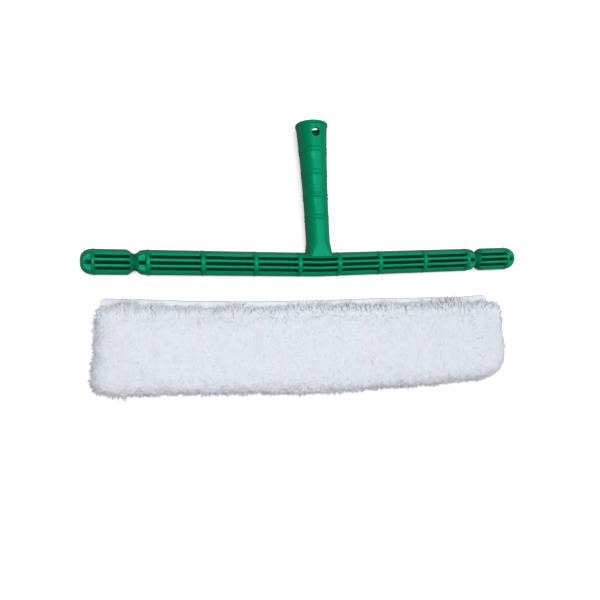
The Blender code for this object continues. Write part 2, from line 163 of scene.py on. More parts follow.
def plushFinish():
    finish = Finish("white_plush", Roughness=0.95, Sheen_Weight=0.6, Sheen_Roughness=0.5, Specular_IOR_Level=0.1)
    clumps = finish.noise(260.0, 3.0)
    patches = finish.noise(38.0, 2.0)
    # painted shade: low values give the darker lavender root colour, where the pile's roots and body lie in shade;
    # the values also carry each lock's own tone
    lit = finish.ramp(finish.attribute("pileToneAndShade") + (clumps - 0.5) * 0.12, 0.0, 1.0)
    fibre = finish.mix(lit, pileLook["root"], pileLook["tip"])
    cooled = finish.ramp(patches, 0.42, 0.68) * pileLook["coolShare"]
    finish.set("Base Color", finish.mix(cooled, fibre, pileLook["cool"]))
    finish.set("Normal", finish.bump(finish.noise(1500.0, 2.0), 0.0001, 0.3))
    return finish.material


clothLook = {
    "band": ((0.735, 0.78, 0.825), (0.645, 0.69, 0.745)), "lining": ((0.76, 0.78, 0.82), (0.62, 0.64, 0.7)),
    "tape": ((0.72, 0.73, 0.76), (0.56, 0.57, 0.61)), "thread": ((0.78, 0.8, 0.83), (0.66, 0.68, 0.72)),
    # painted shade: the colour and share of the darkening along the band's folded edge and its ends
    "fold": (0.36, 0.38, 0.37), "foldShadeShare": 0.9,
}


def wovenFinish(name, tones, pitch):  # tones are the light and the dark yarn
    finish = Finish(name, Sheen_Weight=0.15, Specular_IOR_Level=0.25)
    turns = 1.0 / pitch / 20.0
    warp, weft = finish.stripes("X", turns), finish.stripes("Y", turns)
    weave = warp * weft + (1 - warp) * (1 - weft)
    fuzz = finish.noise(900.0, 3.0)
    patches = finish.noise(45.0, 2.0)
    light, dark = tones
    woven = finish.mix(weave * 0.45 + patches * 0.35 + fuzz * 0.2, dark, light)
    paintedFoldShade = finish.attribute("bandFoldShade") * clothLook["foldShadeShare"]  # painted shade: the cloth is darkened along the band's folded edge and at its ends
    finish.set("Base Color", finish.mix(paintedFoldShade, woven, clothLook["fold"]))
    finish.set("Roughness", 0.78 + fuzz * 0.15)
    soft = finish.bump(patches, 0.0006, 0.4)
    finish.set("Normal", finish.bump(weave * 0.7 + fuzz * 0.3, 0.00012, 0.7, soft))
    return finish.material


finishes = {  # by slot
    "bar_plastic": greenPlastic("bar_green", (0.18, 1.0, 1.0)),
    "handle_plastic": greenPlastic("handle_green", (1.0, 0.22, 1.0)),
    "pile": plushFinish(),
    "band": wovenFinish("band_cloth", clothLook["band"], 0.0006),
    "lining": wovenFinish("lining_cloth", clothLook["lining"], 0.0008),
    "tape": wovenFinish("tape_cloth", clothLook["tape"], 0.0005),
    "thread": wovenFinish("sewing_thread", clothLook["thread"], 0.0003),
}
print("finishes made")


def linked(name, data):  # an object in the scene for a mesh, a lamp or a camera
    thing = bpy.data.objects.new(name, data)
    bpy.context.scene.collection.objects.link(thing)
    return thing


def finished(holder):  # the mesh that an object's modifiers make, without the object
    bpy.context.view_layer.update()
    mesh = bpy.data.meshes.new_from_object(holder.evaluated_get(bpy.context.evaluated_depsgraph_get()))
    bpy.data.objects.remove(holder)
    return mesh


def addPiece(name, mesh, body, slot, nodes=(), sharp=None):
    mesh.materials.append(finishes[slot])
    mesh.shade_smooth()
    if sharp:
        mesh.set_sharp_from_angle(angle=radians(sharp))
    piece = linked(name, mesh)
    if nodes:
        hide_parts(*nodes)
    if body:
        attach(piece, body)
    return piece


def meshFrom(name, shape):
    mesh = bpy.data.meshes.new(name)
    shape.to_mesh(mesh)
    shape.free()
    return mesh


def meshOf(name, shape, place=sleeveFrame):
    bmesh.ops.transform(shape, matrix=place, verts=shape.verts)
    bmesh.ops.recalc_face_normals(shape, faces=shape.faces)
    shape.verts.index_update()  # faces sorted by their corners, so that every run scatters its tufts alike
    shape.faces.sort(key=lambda face: sum((vert.index + 1) ** 1.5 for vert in face.verts))
    return meshFrom(name, shape)


def paint(mesh, name, values):  # a value at each vertex, for the finish to read
    layer = mesh.attributes.new(name, "FLOAT", "POINT")
    layer.data.foreach_set("value", np.asarray(values, dtype=np.float32).ravel())


def rowsOf(items, key):  # places or normals as rows of three
    rows = np.empty(len(items) * 3, dtype=np.float32)
    items.foreach_get(key, rows)
    return rows.reshape(-1, 3)


def firstRing(shape, points):
    ring = bmesh.ops.create_circle(shape, cap_ends=False, segments=len(points), radius=1.0)["verts"]
    for vert, point in zip(ring, points):
        vert.co = point
    return ring


def ringEdges(shape, ring):
    return [shape.edges.get(pair) for pair in zip(ring, ring[1:] + ring[:1])]


def closeRing(shape, ring):
    bmesh.ops.edgeloop_fill(shape, edges=ringEdges(shape, ring))


def nextRing(shape, ring, points):  # extrude a ring and move its new vertices to the points
    grown = bmesh.ops.extrude_edge_only(shape, edges=ringEdges(shape, ring))["geom"]
    fresh = {item for item in grown if isinstance(item, bmesh.types.BMVert)}
    moved = []
    for vert, point in zip(ring, points):
        twin = next(v for edge in vert.link_edges for v in edge.verts if v in fresh)
        twin.co = point
        moved.append(twin)
    return moved


def sweep(shape, sections, capped=True):  # a skin from ring to ring, with its ends closed if capped
    ring = firstRing(shape, sections[0])
    if capped:
        closeRing(shape, ring)
    for section in sections[1:]:
        ring = nextRing(shape, ring, section)
    if capped:
        closeRing(shape, ring)
    return ring


def spun(shape, points, center, axis, angle, steps):  # a profile turned once round
    line = [shape.verts.new(point) for point in points]
    edges = [shape.edges.new(pair) for pair in zip(line, line[1:])]
    bmesh.ops.spin(shape, geom=line + edges, cent=center, axis=axis, angle=angle, steps=steps, use_merge=True)
    bmesh.ops.remove_doubles(shape, verts=shape.verts, dist=0.001)


def peg(shape, sides, base, tip, tall, place):
    made = bmesh.ops.create_cone(
        shape, cap_ends=True, segments=sides, radius1=base, radius2=tip, depth=tall, matrix=place)
    return made["verts"]


def between(value, low, high):
    return min(1.0, max(0.0, (value - low) / (high - low)))


def eased(value, low, high):
    share = between(value, low, high)
    return share * share * (3 - 2 * share)


def smoothKnots(knots, x, reach):  # straight lines between (x, value) knots, their corners rounded by the reach
    steps = x + reach * np.array((-1.0, -0.5, 0.0, 0.5, 1.0))
    return float(np.interp(steps, *zip(*knots)).mean())


# The bar is drawn from its middle to +X as rings round its length, and mirrored.
bar = {
    "half": 175.0, "radius": 9.2, "bandRise": 0.2, "lean": tan(radians(1.3)), "roll": 10.5,
    "bands": ((15.96, 2.4), (50.19, 2.4), (89.45, 2.4), (128.7, 2.4), (166.1, 1.5)), "neck": 138.3,
    "neckRadius": 6.1, "neckRun": (130.4, 145.0), "dome": 8.15, "tip": 2.9, "lane": 4.3, "slot": 1.1, "lip": 0.5,
    "floor": 1.3, "fillet": 0.45, "flat": 0.7, "slotInset": 0.3, "slotEnd": 0.9, "notch": 4.8, "ridge": 0.1,
    "cone": 5.0, "knobSlot": 2.7, "pad": 6.9, "fullRadius": 7.6, "outerLevel": 5.6, "outerFall": 0.32,
    "outerStart": 5.4, "outerPlace": 7.9, "shadeRun": (4.5, 8.3),
}


def barKnots():
    neck, radius = bar["neck"], bar["radius"]
    knots = [(0.0, radius)]
    for place, width in bar["bands"]:
        if place > neck:
            knots += [(neck - 4.2, radius - 0.5), (neck - 0.9, bar["neckRadius"]), (neck + 0.9, bar["neckRadius"])]
            knots += [(neck + bar["cone"] * 0.8, radius - 0.5), (neck + bar["cone"], radius)]
        for side, rise in ((-1, 0), (-0.9, 1), (0.9, 1), (1, 0)):
            knots.append((place + side * width / 2, radius + rise * bar["bandRise"]))
    for step in range(1, 11):
        angle = pi / 2 * step / 10
        along = bar["half"] - bar["dome"] * (1 - sin(angle))
        knots.append((along, bar["tip"] + (radius - bar["tip"]) * cos(angle)))
    return knots


def barSpaces():  # where the three slots run, and where the middle one runs as well
    inset = bar["slotInset"]
    edges = [(place - width / 2 - inset, place + width / 2 + inset) for place, width in bar["bands"]]
    outer = [(-50.0, edges[0][0])] + [(near[1], far[0]) for near, far in zip(edges[:3], edges[1:4])]
    outer.append((bar["neck"] + bar["knobSlot"], edges[4][0]))
    starts = (edges[3][1], bar["half"] - bar["dome"] + 0.3)
    return outer, outer + [(start, start + bar["notch"]) for start in starts]


def openShare(x, spaces, reach):  # 1 in a slot's run, and round at its ends
    for start, end in spaces:
        if start < x < end:
            share = min(1.0, min(x - start, end - x) / reach)
            return sqrt(1 - (1 - share) ** 2)
    return 0.0


def slotPoints(center, share, size, surface):  # across one slot, from its +Y side to its -Y side
    reach = (bar["slot"] + bar["lip"]) * size
    if share < 0.05:
        return [(y, surface(y)) for y in (center + reach * (1 - step * 2 / 11) for step in range(12))]
    half = bar["slot"] * size * share
    fillet = min(bar["fillet"], 0.8 * half)
    lip = bar["lip"] * size
    floor = bar["floor"]
    side = [(half + lip, 0.0), (half + lip * 0.35, lip * 0.25), (half, lip)]
    low = [(half, floor + fillet), (half - 0.3 * fillet, floor + 0.3 * fillet), (half - fillet, floor)]
    right = [(center + y, surface(center + y) - drop) for y, drop in side] + [(center + y, z) for y, z in low]
    left = [(center - y, z) for y, z in reversed(low)]
    left += [(center - y, surface(center - y) - drop) for y, drop in reversed(side)]
    return right + left


def railPoints(radius, corner, inner, side, surface):  # an outer rail, from the parting line to its slot's lip
    points = []
    for angle in (1.0, 2.0, *(corner * step / 6 for step in (1.5, 2.6, 3.7, 4.7, 5.5, 6))):
        turn = radians(angle)
        points.append((side * radius * cos(turn), radius * sin(turn)))
    edge = radius * cos(radians(corner))
    for share in (0.12, 0.5, 0.85):
        y = side * (edge + (inner - edge) * share)
        points.append((y, surface(y)))
    return points


def barRing(x, knots, outer, middle):
    low, high = bar["neckRun"]
    radius = smoothKnots(knots, x, 0.45 if low < x < high else 0.06)
    size = min(1.0, radius / bar["fullRadius"])
    flatShare = max(eased(min(x - start, end - x), -0.1, 0.5) for start, end in outer)
    level = radius - bar["flat"] * flatShare
    padShare = max(eased(min(x - start + 0.3, end - x + 0.5), 0.0, 0.5) for start, end in middle[-2:])

    def surface(y):
        full = sqrt(max(0.0, radius * radius - y * y))
        if padShare > 0:
            return full + (min(full, bar["pad"]) - full) * padShare
        if abs(y) < bar["lane"] * size:
            return min(full, level)
        cut = min(full, bar["outerLevel"] - bar["outerFall"] * (abs(y) - bar["outerStart"]))
        share = 0.0 if y > 0 and x < outer[0][1] else flatShare  # the rail under the foot stays round
        return full + (cut - full) * share

    lane = bar["lane"] * size
    inner = lane + (bar["slot"] + bar["lip"]) * size
    corner = degrees(acos(min(0.97, bar["outerPlace"] * size / radius)))
    half = railPoints(radius, corner, inner, 1, surface)
    for number, spaces in enumerate((outer, middle, outer)):
        place = lane * (1 - number)
        half += slotPoints(place, openShare(x, spaces, bar["slotEnd"]), size, surface)
        if number < 2:
            half.append((place - lane / 2, surface(place - lane / 2)))
    half += list(reversed(railPoints(radius, corner, inner, -1, surface)))
    ring = [(radius + bar["ridge"], 0.0)] + half + [(-radius - bar["ridge"], 0.0)]
    ring += [(y, -z) for y, z in reversed(half)]
    across, lift = cos(radians(bar["roll"])), sin(radians(bar["roll"]))
    return [(x, y * across - z * lift + bar["lean"] * x, y * lift + z * across) for y, z in ring]


def barStations(middle):
    half = bar["half"]
    places = {0.0, 8.0}
    for start, end in middle:
        for step in (-0.02, 0.001, 0.06, 0.25, 0.55, 0.95):
            places |= {start + step, end - step}
        if end - start > 12:
            places |= {start + (end - start) * share / 4 for share in (1, 2, 3)}
    for place, width in bar["bands"]:
        places |= {place + side * width / 2 + gap for side in (-1, 1) for gap in (-0.06, 0.06)}
        places |= {place - side * (width / 2 - 0.2) for side in (-1, 1)} | {place}
    places |= {bar["neck"] + step * 0.6 for step in range(-9, 10)}
    places |= {half - bar["dome"] * (1 - sin(pi / 2 * step / 14)) for step in range(15)}
    return sorted(place for place in places if 0.0 <= place <= half - 0.01)


def shadeSlots(mesh):  # how far inside a slot each point is, for the finish's painted shade and its roughness
    inverse = barFrame.inverted()
    depths = []
    for vert in mesh.vertices:
        x, y, z = inverse @ vert.co
        away = hypot(y - bar["lean"] * abs(x), z)
        depths.append(1 - eased(away, *bar["shadeRun"]) if abs(x) < bar["half"] - 4 else 0.0)
    paint(mesh, "slotDepth", depths)


def makeBar():
    outer, middle = barSpaces()
    knots = barKnots()
    shape = bmesh.new()
    ring = sweep(shape, [barRing(x, knots, outer, middle) for x in barStations(middle)], capped=False)
    end = bar["half"]
    for share, x in ((0.93, end - 0.02), (0.55, end)):
        center = bar["lean"] * x
        points = [(x, center + (vert.co.y - center) * share, vert.co.z * share) for vert in ring]
        ring = nextRing(shape, ring, points)
    bmesh.ops.pointmerge(shape, verts=ring, merge_co=(end, bar["lean"] * end, 0.0))
    bmesh.ops.mirror(shape, geom=shape.verts[:] + shape.edges[:] + shape.faces[:], axis="X", merge_dist=0.001)
    mesh = meshOf("fluted_bar", shape, barFrame)
    shadeSlots(mesh)
    addPiece("fluted_bar", mesh, "t_bar", "bar_plastic", ["crossbar"], sharp=38)


# The handle is turned round Y, and its foot goes on as rings that end in a rounded rectangle.
handle = {
    "mouth": 112.3, "foot": 17.5, "radius": 9.45, "swell": 3.05, "power": 2.2, "lipRise": 0.5, "lipWidth": 2.2,
    "bore": 10.4, "boreBottom": 7.5, "depth": 74.0, "rings": (36.4, 53.6, 71.8, 90.0), "ringRise": 0.36, "shift": 1.1,
    "ringHalf": 0.75, "ringGap": 1.45, "footWidth": 18.8, "footDepth": 17.4, "footCorner": 2.4, "footBase": 5.35,
    "seat": 9.32, "hole": 3.3, "holePlace": 102.9, "mouldRun": (20.0, 108.0), "mouldRise": 0.09, "sides": 96,
}


def handleRadius(y):
    share = between(y, handle["foot"], handle["mouth"])
    radius = handle["radius"] + handle["swell"] * share ** handle["power"]
    for place in handle["rings"]:
        for side in (-1, 1):
            off = abs(y - place - side * handle["ringGap"]) / handle["ringHalf"]
            if off < 1:
                radius += handle["ringRise"] * cos(off * pi / 2) ** 1.3
    return radius


def handleProfile():
    mouth, lip = handle["mouth"], handle["lipRise"]
    start = mouth - handle["lipWidth"]
    places = {handle["foot"], 20.0, 24.0, 29.0, 44.0, 61.0, 80.0, 94.0, 98.0, 102.0, 106.0, start - 0.7}
    for place in handle["rings"]:
        for step in range(-9, 10):
            places.add(place + step * (handle["ringGap"] + handle["ringHalf"]) / 9)
    profile = [(handleRadius(y), y) for y in sorted(places)]
    rim = handleRadius(mouth) + lip
    profile += [(rim - 0.2, start - 0.12), (rim, start + 0.1), (rim, mouth - 0.5), (rim - 0.15, mouth - 0.15)]
    bore, bottom = handle["bore"], handle["boreBottom"]
    profile += [(rim - 0.5, mouth), (bore + 0.45, mouth), (bore + 0.12, mouth - 0.14), (bore, mouth - 0.5)]
    for share in (0.12, 0.25, 0.4, 0.55, 0.7, 0.85, 0.99):
        profile.append((bore + (bottom - bore) * share, mouth - handle["depth"] * share))
    return profile + [(bottom - 0.6, mouth - handle["depth"]), (0.0, mouth - handle["depth"])]


def footRing(share):  # from the handle's circle, share 0, to the foot's rounded rectangle, share 1
    corner = handle["footCorner"]
    reachX = (handle["footWidth"] / 2 - corner) * share
    reachZ = (handle["footDepth"] / 2 - corner) * share
    radius = handle["radius"] * (1 - share) + corner * share
    points = []
    for step in range(handle["sides"]):
        angle = 2 * pi * (step + 0.5) / handle["sides"]
        x = radius * cos(angle) + copysign(reachX, cos(angle))
        z = radius * sin(angle) + copysign(reachZ, sin(angle))
        low = max(handle["footBase"], sqrt(max(0.0, handle["seat"] ** 2 - z * z)))
        points.append((x, handle["foot"] + (low - handle["foot"]) * share, z))
    return points


def holeCutter():
    shape = bmesh.new()
    radius, place = handle["hole"], handle["holePlace"]
    wall = handleRadius(place)
    profile = [(0.0, -20.0), (radius + 0.6, -20.0), (radius + 0.45, -wall - 0.2), (radius, -wall + 0.35)]
    profile += [(r, -z) for r, z in reversed(profile)]
    spun(shape, [(r, place, z) for r, z in profile], (0, place, 0), (0, 0, 1), 2 * pi, 40)
    return meshOf("holeCutter", shape, toMetres)


def makeHandle():
    shape = bmesh.new()
    start = pi / handle["sides"]
    line = [(r * cos(start), y, r * sin(start)) for r, y in handleProfile()]
    spun(shape, line, (0, 0, 0), (0, 1, 0), -2 * pi, handle["sides"])
    ring = [vert for vert in shape.verts if vert.co.y < handle["foot"] + 0.001]
    ring.sort(key=lambda vert: atan2(vert.co.z, vert.co.x) % (2 * pi))
    for share in (0.15, 0.3, 0.45, 0.6, 0.75, 0.9, 1.0):
        ring = nextRing(shape, ring, footRing(share))
    closeRing(shape, ring)
    low, high = handle["mouldRun"]
    for vert in shape.verts:  # the mould's parting line down both sides
        if low < vert.co.y < high and abs(vert.co.z) < 0.45 and abs(vert.co.x) > handle["radius"] - 0.5:
            vert.co.x += copysign(handle["mouldRise"], vert.co.x)
    blank = linked("handleBlank", meshOf("socket_handle", shape, toMetres))
    cutter = linked("holeCutter", holeCutter())
    cut = blank.modifiers.new("Hole", "BOOLEAN")
    cut.operation = "DIFFERENCE"
    cut.object = cutter
    mesh = finished(blank)
    bpy.data.objects.remove(cutter)
    for vert in mesh.vertices:  # the foot stands a little to one side, as the photo shows
        up = between(vert.co.y * 1000, handle["foot"], handle["mouth"])
        vert.co.x += 0.001 * handle["shift"] * (1 - up)
    mesh.transform(barFrame @ toMetres.inverted())
    for vert in mesh.vertices:  # the lip is worn flat where it rests
        vert.co.z = max(vert.co.z, 0.00002)
    addPiece("socket_handle", mesh, "t_bar", "handle_plastic", ["handle"], sharp=30)


makeBar()
makeHandle()
print("T-bar made")


# The sleeve's pads are rings of spokes from the rim in to a middle line.
sleeve = {
    "midLeft": -128.0, "midRight": 118.0, "midLine": -38.5, "step": 4.0, "fan": 7.5,
    "rim": (
        (-154.5, -6.2), (-157.0, -7.6), (-157.8, -12.5), (-157.4, -19.0), (-158.3, -26.5), (-160.0, -32.0),
        (-159.2, -39.4), (-161.2, -50.5), (-161.0, -56.5), (-159.6, -60.9), (-155.4, -63.8), (-147.4, -65.4),
        (-136.6, -65.7), (-109.4, -65.9), (-81.3, -67.2), (-52.2, -67.6), (-22.1, -69.3), (9.5, -70.2), (58.5, -68.6),
        (75.5, -68.8), (110.5, -66.9), (128.5, -66.4), (139.0, -66.0), (149.2, -62.8), (154.2, -58.2), (157.0, -52.8),
        (158.4, -47.4), (158.8, -39.7), (158.5, -30.7), (158.2, -19.0), (157.5, -12.4), (156.0, -7.8), (152.8, -5.4),
        (148.8, -5.8),
    ),
    "bow": ((-158, 1.4), (-140, 0.9), (-115, 0.0), (-91, -1.1), (-50, -1.7), (5, -1.3), (52, 0.1), (100, 0.3),
        (122, 0.3), (145, 2.4)),
    "pileSide": -8.4, "liningInset": 1.6, "hingeGap": -7.4,
}

cloth = {
    "thick": 0.9, "backBase": 8.85, "frontBase": 15.65, "bandLeft": -156.1, "bandRight": 147.6, "bandDeep": 6.85,
    "bandCloth": 0.3, "bandBase": 15.72, "bandThick": 0.85, "wave": 0.18, "seamIn": 4.4,
    "seamBase": 10.15, "seamTop": 15.25, "pinch": 0.22,
}


def bow(x):  # how far the mouth's edge wanders from straight
    return smoothKnots(sleeve["bow"], x, 9.0)


def crossing(center, direction, rim):  # where a ray from the centre leaves the rim
    best = 0.0
    for (x0, y0), (x1, y1) in zip(rim, rim[1:] + rim[:1]):
        ex, ey = x1 - x0, y1 - y0
        slant = direction[0] * ey - direction[1] * ex
        if abs(slant) < 1e-9:
            continue
        reach = ((x0 - center[0]) * ey - (y0 - center[1]) * ex) / slant
        along = ((x0 - center[0]) * direction[1] - (y0 - center[1]) * direction[0]) / slant
        if reach > 0 and -1e-6 <= along <= 1 + 1e-6:
            best = max(best, reach)
    return (center[0] + direction[0] * best, center[1] + direction[1] * best)


def spokes(rim, fine):  # (rim point, its target on the middle line), once round
    left, right, line = sleeve["midLeft"], sleeve["midRight"], sleeve["midLine"]
    count = round((right - left) / sleeve["step"]) * fine
    stations = [left + (right - left) * number / count for number in range(count + 1)]
    fan = sleeve["fan"] / fine
    turns = [radians(fan * number) for number in range(1, round(180 / fan))]
    rays = [(x, 0.0, 1.0) for x in stations] + [(right, sin(turn), cos(turn)) for turn in turns]
    rays += [(x, 0.0, -1.0) for x in reversed(stations)] + [(left, -sin(turn), -cos(turn)) for turn in turns]
    return [(crossing((x, line), (wayX, wayY), rim), (x, line)) for x, wayX, wayY in rays]


def mouthShare(x, y):  # 1 along the mouth's side, 0 on the other three
    return eased(y, -14.0, -9.5) * eased(x, -161.0, -158.0) * (1 - eased(x, 150.0, 156.0))


# The profile has (inset, height on three sides, height along the mouth), with None for the middle line.
def pad(rim, profile, fine=1):
    shape = bmesh.new()
    lines = spokes(rim, fine)
    rings = []
    for inset, height, mouthHeight in profile:
        points = []
        for edge, target in lines:
            start, end = Vector(edge), Vector(target)
            place = end if inset is None else start + (end - start).normalized() * inset
            points.append(Vector((place.x, place.y, height + (mouthHeight - height) * mouthShare(*edge))))
        rings.append(points)
    sections = rings[:1]
    for near, far in zip(rings, rings[1:]):
        for step in range(1, fine + 1):
            sections.append([start.lerp(end, step / fine) for start, end in zip(near, far)])
    sweep(shape, sections, capped=False)
    bmesh.ops.remove_doubles(shape, verts=shape.verts, dist=0.001)
    return shape


def ruffle(shape, amount, scale, seed, low):  # uneven pile: move points along their normals
    shape.normal_update()
    moves = []
    for vert in shape.verts:
        wide = noise.noise(vert.co / scale + Vector((seed, 0, 0)))
        wave = wide + 0.5 * noise.noise(vert.co / (scale * 0.4) + Vector((0, seed, 0)))
        moves.append(vert.normal * wave * amount * (1.9 - abs(vert.normal.z)))
    for vert, move in zip(shape.verts, moves):
        vert.co += move
        vert.co.z = max(low, vert.co.z)


def withMouth(rim, side):  # the rim, closed along the mouth by points that follow its bow
    top = [(x, side + bow(x)) for x in np.linspace(rim[-1][0] - 4.0, rim[0][0] + 4.0, 40)]
    return list(rim) + top


def insetRim(rim, amount):
    points = [Vector(point) for point in rim]
    moved = []
    for before, point, after in zip(points[-1:] + points[:-1], points, points[1:] + points[:1]):
        along = (after - before).normalized()
        moved.append((point.x - along.y * amount, point.y + along.x * amount))
    return moved


piles = {
    "front": (
        (None, 17.0, 17.0), (26.0, 17.0, 17.0), (12.0, 16.95, 17.0), (4.6, 16.9, 17.0), (3.1, 16.8, 16.95),
        (2.6, 15.2, 16.9), (2.2, 13.6, 16.85), (1.2, 12.9, 16.85), (0.3, 14.0, 16.9), (0.0, 16.6, 17.2),
        (0.3, 18.9, 18.5), (1.3, 21.2, 20.1), (3.0, 22.9, 21.8), (5.5, 24.2, 23.3), (9.5, 25.2, 24.6),
        (15.0, 25.75, 25.5), (21.0, 25.9, 25.8), (None, 25.95, 25.95),
    ),
    "back": (
        (None, 0.55, 0.55), (21.0, 0.55, 0.55), (12.0, 0.6, 0.6), (6.0, 0.8, 0.8), (3.0, 1.5, 1.5), (1.2, 3.0, 2.8),
        (0.2, 5.4, 4.4), (0.0, 7.6, 5.8), (0.2, 9.8, 7.2), (1.0, 11.6, 8.0), (2.0, 11.9, 8.2), (2.6, 10.8, 8.3),
        (2.9, 9.2, 8.35), (3.6, 8.4, 8.4), (8.0, 8.4, 8.4), (26.0, 8.4, 8.4), (None, 8.4, 8.4),
    ),
}


def besideBand(x, z):
    return (x > cloth["bandLeft"] - 0.6) & (x < cloth["bandRight"] + 0.8) & (z > 14.0)


def mouthLimit(x, z):  # as far as a lock may reach before the band swings up into it
    return np.minimum(np.interp(x, *zip(*sleeve["bow"])) - 8.7, sleeve["hingeGap"]) + 0.2 * (z - 17.0)


def makePile(side, seed):
    shape = pad(withMouth(sleeve["rim"], sleeve["pileSide"]), piles[side], 3)
    bmesh.ops.smooth_vert(shape, verts=shape.verts, factor=0.4, use_axis_x=True, use_axis_y=True, use_axis_z=True)
    sewn = piles[side][0 if side == "front" else -1][1]
    flat = {vert: vert.co.copy() for vert in shape.verts if abs(vert.co.z - sewn) < 0.12}
    ruffle(shape, 0.55, 5.5, seed, 0.35)
    for vert, place in flat.items():  # the side sewn to the lining stays flat
        vert.co = place
    for vert in shape.verts:
        if side == "front" and besideBand(vert.co.x, vert.co.z):
            vert.co.y = min(vert.co.y, sleeve["hingeGap"] + 0.2 * (vert.co.z - 17.0))
    mesh = meshOf(side + "_plush", shape)
    # painted shade: the pile's body under the locks gets a darker tone
    paint(mesh, "pileToneAndShade", np.full(len(mesh.vertices), tufts["bodyTone"]))
    piece = addPiece(side + "_plush", mesh, "sleeve", "pile", [side + "_pile"])
    softened(mesh, upright, 0.45)
    return piece


tufts = {
    "count": 16400, "sideCount": 4200, "lipCount": 4600, "length": 3.1, "longest": 1.25, "faceCut": 0.5,
    "width": 0.42, "sideBroad": 1.5, "spread": 0.5, "lean": 0.7, "comb": 0.8, "combReach": 26.0, "swirl": 7.0,
    "clump": 4.0, "softness": 0.78, "upward": 0.6, "bend": 0.28, "droop": 0.1, "faceTilt": 0.55,
    # painted shade and light: each pair is a lock's tone at its root and at its tip, darker at the root; the side
    # locks are made brighter than the face's to make up for the light they lack
    "faceTones": (0.28, 0.44), "sideTones": (1.0, 0.45), "lipTones": (0.35, 0.44), "bodyTone": 0.35,
    "edgeShade": 0.14, "edgeStart": 0.62, "lowerShade": 0.6,
    "lips": (
        (-158, 4.0), (-150, 4.5), (-144, 6.5), (-139, 9.5), (-134, 7.5), (-130, 4.2), (-123, 6.0), (-111, 6.0),
        (-103, 4.0), (-96, 4.8), (-91, 6.2), (-86, 4.6), (-76, 4.2), (-70, 4.4), (-65, 7.8), (-60, 7.8),
        (-56, 4.6), (-47, 4.4), (-33, 4.9), (-26, 4.4), (-21, 5.6), (-15, 4.6), (-9, 7.0), (-5, 5.2), (0, 8.0),
        (5, 7.0), (8, 5.4), (14, 4.8), (20, 5.4), (25, 7.8), (31, 5.4), (40, 5.2), (46, 4.8), (52, 6.4),
        (60, 6.8), (66, 5.0), (71, 4.4), (80, 5.8), (86, 6.6), (98, 6.2), (105, 7.0), (110, 9.5), (119, 9.0),
        (128, 6.4), (145, 5.4), (153, 5.0),
    ),
}


def lockRow(count, apart):  # closed tapering locks of four sides, pointing up, one unit long, by an Array modifier
    shape = bmesh.new()
    peg(shape, 4, 1.0, 0.12, 1.0, Matrix.Translation((0, 0, 0.5)))
    geometry = shape.verts[:] + shape.edges[:] + shape.faces[:]
    bmesh.ops.bisect_plane(shape, geom=geometry, plane_co=(0, 0, 0.55), plane_no=(0, 0, 1))
    holder = linked("lockRow", meshFrom("tuftTemplate", shape))
    copies = holder.modifiers.new("Copies", "ARRAY")
    copies.count = count
    copies.use_relative_offset = False
    copies.use_constant_offset = True
    copies.constant_offset_displace = (apart, 0, 0)
    return finished(holder)


def scattered(piece, count, keep, seed):  # points and normals on the faces that keep(points, normals) allows
    mesh = piece.data.copy()
    mesh.transform(sleeveFrame.inverted())
    mesh.calc_loop_triangles()
    places = rowsOf(mesh.vertices, "co").astype(float)
    corners = np.empty(len(mesh.loop_triangles) * 3, dtype=np.int32)
    mesh.loop_triangles.foreach_get("vertices", corners)
    triangles = places[corners.reshape(-1, 3)]
    bpy.data.meshes.remove(mesh)
    a, b, c = triangles.swapaxes(0, 1)
    cross = np.cross(b - a, c - a)
    area = np.linalg.norm(cross, axis=1)
    normals = cross / np.maximum(area, 1e-12)[:, None]
    weight = area * keep(triangles.mean(axis=1), normals)
    random = np.random.default_rng(seed)
    picked = random.choice(len(weight), size=count, p=weight / weight.sum())
    u, v = random.random((2, count))
    over = u + v > 1
    u[over], v[over] = 1 - u[over], 1 - v[over]
    a, b, c = triangles[picked].swapaxes(0, 1)
    return a + u[:, None] * (b - a) + v[:, None] * (c - a), normals[picked], random


def unit(rows):
    return rows / np.maximum(np.linalg.norm(rows, axis=1), 1e-9)[:, None]


def swirl(spots, scale, seed):
    return np.array([noise.noise_vector(Vector(spot) / scale + Vector((seed, seed, 0))) for spot in spots])


def softened(mesh, wanted, share):  # normals blended with the wanted ones, as light spreads through loose fibre
    own = rowsOf(mesh.vertex_normals, "vector")
    mesh.shade_smooth()
    mesh.normals_split_custom_set_from_vertices(unit(own * (1 - share) + wanted * share))


def growTufts(spots, normals, directions, lengths, widths, tones, random, kept):
    count = len(spots)
    apart = 3.0
    mesh = lockRow(count, apart)
    size = len(mesh.vertices) // count
    local = rowsOf(mesh.vertices, "co").reshape(count, size, 3).astype(float)
    local[:, :, 0] -= apart * np.arange(count)[:, None]
    across = unit(np.cross(directions, random.normal(size=(count, 3))))
    other = np.cross(directions, across)
    bend = random.normal(size=(count, 3)) * tufts["bend"]
    bend[:, 2] -= tufts["droop"]
    height = local[:, :, 2:3]
    flat = 0.7 + 0.6 * random.random(count)
    lengths, widths, flat = (row[:, None, None] for row in (lengths, widths, flat))
    shape = spots[:, None] + directions[:, None] * (height * lengths - 0.5)
    shape += across[:, None] * (local[:, :, 0:1] * (widths * flat))
    shape += other[:, None] * (local[:, :, 1:2] * (widths / flat))
    shape += bend[:, None] * (height * height * lengths)
    mesh.vertices.foreach_set("co", kept(shape).ravel())
    mesh.update()
    root, tip = tones
    # painted shade: each lock darkens from its tip down to its root
    tone = root + (tip - root) * height[:, :, 0] + random.normal(size=(count, 1)) * 0.04
    paint(mesh, "pileToneAndShade", np.clip(tone, 0, 1))
    softened(mesh, np.repeat(normals, size, axis=0), tufts["softness"])
    mesh.transform(sleeveFrame)
    return mesh


